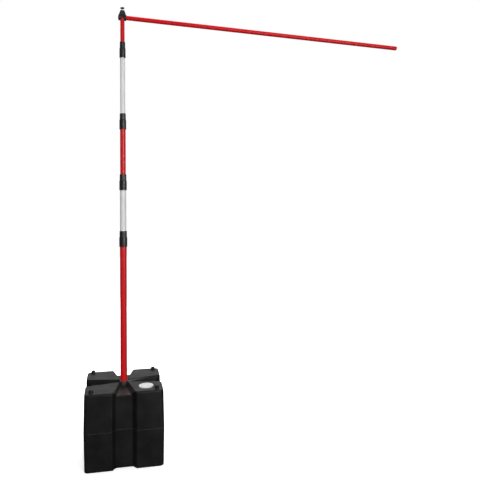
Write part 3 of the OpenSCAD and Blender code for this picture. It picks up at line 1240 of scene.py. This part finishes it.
@dataclass
class Mast:
    """The five tubes with their guide bushes and locks."""

    tubes: int = 5

    def build(self) -> None:
        """Dresses the tubes and builds the locks."""
        for number in range(1, self.tubes + 1):
            keep(f"mast_tube_{number}", RED_UPRIGHT if number % 2 else WHITE_UPRIGHT)
            if number > 1:
                keep(f"guide_bush_{number}", BUSH_PLASTIC)
        keep("foot_plug", BUSH_PLASTIC)
        for number in range(1, self.tubes):
            TwistLock(number).build()


# ------------------------------------------------------------------------------------------------
# Head and boom
# ------------------------------------------------------------------------------------------------

@dataclass
class Head:
    """The clamp head: collar, saddle, dome, washer, boss and wing nut."""

    voxel: float = 0.0009
    passes: int = 5
    grip_voxel: float = 0.0005
    stud_hole: float = 0.0043
    flange: float = 0.0022
    flange_step: float = 0.0004
    across_flats: float = 0.92

    def washer(self) -> bpy.types.Object:
        """Builds the flat washer with rolled edges.

        Returns:
            The washer.
        """
        low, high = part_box("flat_washer")
        bore = self.stud_hole
        corners = [
            (bore, low.z, 0.0004), (high.x, low.z, 0.0007), (high.x, high.z, 0.0009), (bore, high.z, 0.0006),
        ]
        return lathe("washer_disc", rounded(corners, 4), 72)

    def boss(self) -> bpy.types.Object:
        """Builds the plated boss with six flats and a round flange at its foot.

        Returns:
            The boss.
        """
        low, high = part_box("nut_boss")
        flange = low.z + self.flange
        shoulder = high.x - self.flange_step
        corners = [
            (self.stud_hole, low.z, 0.0), (high.x, low.z, 0.0005), (high.x, flange, 0.0006),
            (shoulder, flange + self.flange_step, 0.0003), (shoulder, high.z, 0.0009),
            (self.stud_hole, high.z, 0.0),
        ]

        def flats(angle: float, r: float, z: float) -> float:
            """Gives the part above the flange its six flats.

            Args:
                angle: the angle about the axis.
                r: the plain radius.
                z: the height.

            Returns:
                The radius to use.
            """
            if z <= flange or r < self.stud_hole + self.flange_step:
                return r
            sector = (angle + math.pi / 6) % (math.pi / 3) - math.pi / 6
            return min(r, self.across_flats * shoulder / math.cos(sector))

        return lathe("boss_hexagon", refined(rounded(corners, 4), 0.001), 72, flats)

    def build(self) -> None:
        """Builds and dresses the head."""
        keep("head_collar", RED_UPRIGHT)
        keep("clamp_stud", ZINC)
        saddle = softened(copy_of("boom_saddle", "saddle_moulding"), self.voxel, self.passes)
        stand_for(saddle, "boom_saddle", "boom", HEAD_PLASTIC)
        dome = softened(copy_of("clamp_dome", "dome_moulding"), self.voxel, self.passes)
        stand_for(dome, "clamp_dome", "boom", HEAD_PLASTIC)
        stand_for(self.washer(), "flat_washer", "boom", ZINC)
        stand_for(self.boss(), "nut_boss", "wing_nut", ZINC)
        grip = softened(copy_of("wing_nut", "wing_grip"), self.grip_voxel, self.passes)
        stand_for(grip, "wing_nut", "wing_nut", HEAD_PLASTIC)


@dataclass
class Boom:
    """The long tube and its two domed plugs."""

    radius: float = 0.01475
    wall: float = 0.0012
    dome: float = 0.004
    depth: float = 0.022
    skirt: float = 0.0025
    chamfer: float = 0.0002
    droop: float = math.radians(2.6)
    reach: float = 2.008
    tail: float = 0.025

    @property
    def height(self) -> float:
        """Height at which the boom crosses the mast's axis."""
        low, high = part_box("boom_plug_tail")
        centre = (low + high) / 2
        along = (self.depth - self.dome) / 2 - self.tail
        return centre.z + along * math.sin(self.droop)

    def plug(self, name: str, along: float, turn: float) -> bpy.types.Object:
        """Builds a domed plug pushed into the tube.

        Args:
            name: the object's name.
            along: place of its seat along the boom.
            turn: 0 at the tip, pi at the tail.

        Returns:
            The plug in the boom's place.
        """
        inner = self.radius - self.wall
        arc = [(self.radius * math.cos(a), self.dome * math.sin(a)) for a in
               (math.radians(d) for d in range(6, 91, 7))]
        hollow = inner - self.skirt
        outline = [
            (0.0, -self.skirt), (hollow, -self.skirt), (hollow, -self.depth), (inner, -self.depth),
            (inner, 0.0), (self.radius - self.chamfer, 0.0), (self.radius, 1.5 * self.chamfer), *arc,
            (0.0, self.dome),
        ]
        plug = lathe(name, outline, 72)
        to_boom = Matrix.Rotation(self.droop, 4, "Y")
        lying = Matrix.Rotation(math.pi / 2, 4, "Y")
        seat = Matrix.Translation((along, 0, 0)) @ Matrix.Rotation(turn, 4, "Z")
        return moved(plug, Matrix.Translation((0, 0, self.height)) @ to_boom @ seat @ lying)

    def build(self) -> None:
        """Builds the plugs and dresses the tube."""
        keep("boom_tube", RED_BOOM)
        tip = self.plug("tip_plug", self.reach, 0.0)
        stand_for(tip, "boom_plug_tip", "boom", PLUG_PLASTIC)
        tail = self.plug("tail_plug", -self.tail, math.pi)
        stand_for(tail, "boom_plug_tail", "boom", PLUG_PLASTIC)


# ------------------------------------------------------------------------------------------------
# Studio
# ------------------------------------------------------------------------------------------------

@dataclass(frozen=True)
class Lamp:
    """A square soft light."""

    name: str
    place: Point
    aim: Point
    size: float
    power: float
    glints: bool = False

    def build(self) -> None:
        """Hangs the light in its place."""
        lamp = bpy.data.lights.new(self.name, "AREA")
        lamp.size = self.size
        lamp.energy = self.power
        holder = bpy.data.objects.new(self.name, lamp)
        holder.location = self.place
        holder.visible_glossy = self.glints
        holder.rotation_euler = (Vector(self.aim) - Vector(self.place)).to_track_quat("-Z", "Y").to_euler()
        bpy.context.scene.collection.objects.link(holder)


@dataclass
class Studio:
    """Pale floor, soft lights and the camera."""

    eye: Point = (-0.0466, -3.7668, 1.6627)
    yaw: float = math.radians(-12.64)
    roll: float = 0.004
    lens: float = 41.25
    shift: tuple[float, float] = (0.00135, -0.0748)
    backdrop: float = 1.5
    room: float = 0.05
    ceiling: float = 0.08
    floor_size: float = 14.0
    floor_seen: float = 0.93
    floor_thrown: float = 0.06
    sight: float = 60.0
    lamps: tuple[Lamp, ...] = (
        Lamp("key", (3.1, -5.9, 2.4), (0.3, 0.0, 1.5), 2.6, 330.0, glints=True),
        Lamp("fill", (-3.0, -4.8, 2.2), (0.3, 0.0, 1.6), 2.6, 160.0),
        Lamp("rear", (0.6, 6.0, 2.6), (0.3, 0.0, 1.5), 2.6, 190.0),
        Lamp("overhead", (0.4, 0.5, 5.2), (0.3, 0.1, 0.0), 3.4, 130.0),
    )

    def floor(self) -> None:
        """Lays a large pale floor, which throws little light back at the object."""
        size = self.floor_size
        plane = mesh_object("floor", [(-size, -size, 0), (size, -size, 0), (size, size, 0), (-size, size, 0)],
                            [(0, 1, 2, 3)])
        pale = (self.floor_seen,) * 3
        finish = Finish("floor_paper", pale, 0.9)
        finish.shader.inputs["Specular IOR Level"].default_value = 0.1
        graph = finish.graph
        seen = graph.add("ShaderNodeLightPath").outputs["Is Camera Ray"]
        thrown = (self.floor_thrown,) * 3
        finish.feed(Base_Color=graph.mixed(seen, (*thrown, 1.0), (*pale, 1.0)))
        away = graph.add("ShaderNodeVectorMath", {0: graph.place()}, operation="LENGTH").outputs["Value"]
        fade = graph.times(seen, graph.ranged(away, 0.3, 1.8, 0.45, 1.0))
        finish.feed(Emission_Strength=fade)
        finish.shader.inputs["Emission Color"].default_value = WHITE_LIGHT
        finish.bump(finish.effect("grain", "Height", Fineness=300.0), 0.05 * MM)
        dress(plane, finish.material)

    def camera(self) -> None:
        """Sets up a level camera at standing eye height."""
        data = bpy.data.cameras.new("camera")
        data.lens = self.lens
        data.sensor_width = 36.0
        data.shift_x, data.shift_y = self.shift
        data.clip_end = self.sight
        holder = bpy.data.objects.new("camera", data)
        holder.location = self.eye
        holder.rotation_euler = (math.pi / 2, self.roll, self.yaw)
        bpy.context.scene.collection.objects.link(holder)
        bpy.context.scene.camera = holder

    def world(self) -> None:
        """Lights the object softly from all round: brighter behind and above than in the room in front."""
        world = bpy.data.worlds.new("studio")
        world.use_nodes = True
        bpy.context.scene.world = world
        graph = Graph(world.node_tree)
        direction = graph.add("ShaderNodeTexCoord").outputs["Generated"]
        side, back, up = graph.add("ShaderNodeSeparateXYZ", {0: direction}).outputs
        far = graph.ranged(back, -0.2, 0.75, 0.0, 1.0)
        high = graph.ranged(up, 0.22, 0.42, 0.0, 1.0)
        behind = graph.times(graph.times(far, high), graph.ranged(side, -0.3, 0.4, 0.6, 2.0))
        wall = graph.ranged(behind, 0.0, 1.0, self.room, self.backdrop)
        sky = graph.ranged(up, 0.5, 0.9, 0.0, 1.0)
        level = graph.add("ShaderNodeMix", {0: sky, 2: wall, 3: self.ceiling}, data_type="FLOAT").outputs[0]
        seen = graph.add("ShaderNodeLightPath").outputs["Is Camera Ray"]
        strength = graph.add("ShaderNodeMix", {0: seen, 2: level, 3: 1.0}, data_type="FLOAT").outputs[0]
        background = world.node_tree.nodes["Background"]
        graph.join(strength, background.inputs["Strength"])
        background.inputs["Color"].default_value = WHITE_LIGHT

    def build(self) -> None:
        """Sets up the studio."""
        self.floor()
        self.camera()
        self.world()
        for lamp in self.lamps:
            lamp.build()
        bpy.context.scene.view_settings.view_transform = "Standard"


def main() -> None:
    """Builds the stand, piece by piece, and its studio."""
    logging.basicConfig(level=logging.INFO, format="%(message)s")
    Studio().build()
    BallastTank().build()
    Filler().build()
    Mast().build()
    Head().build()
    Boom().build()


if __name__ == "__main__":
    main()
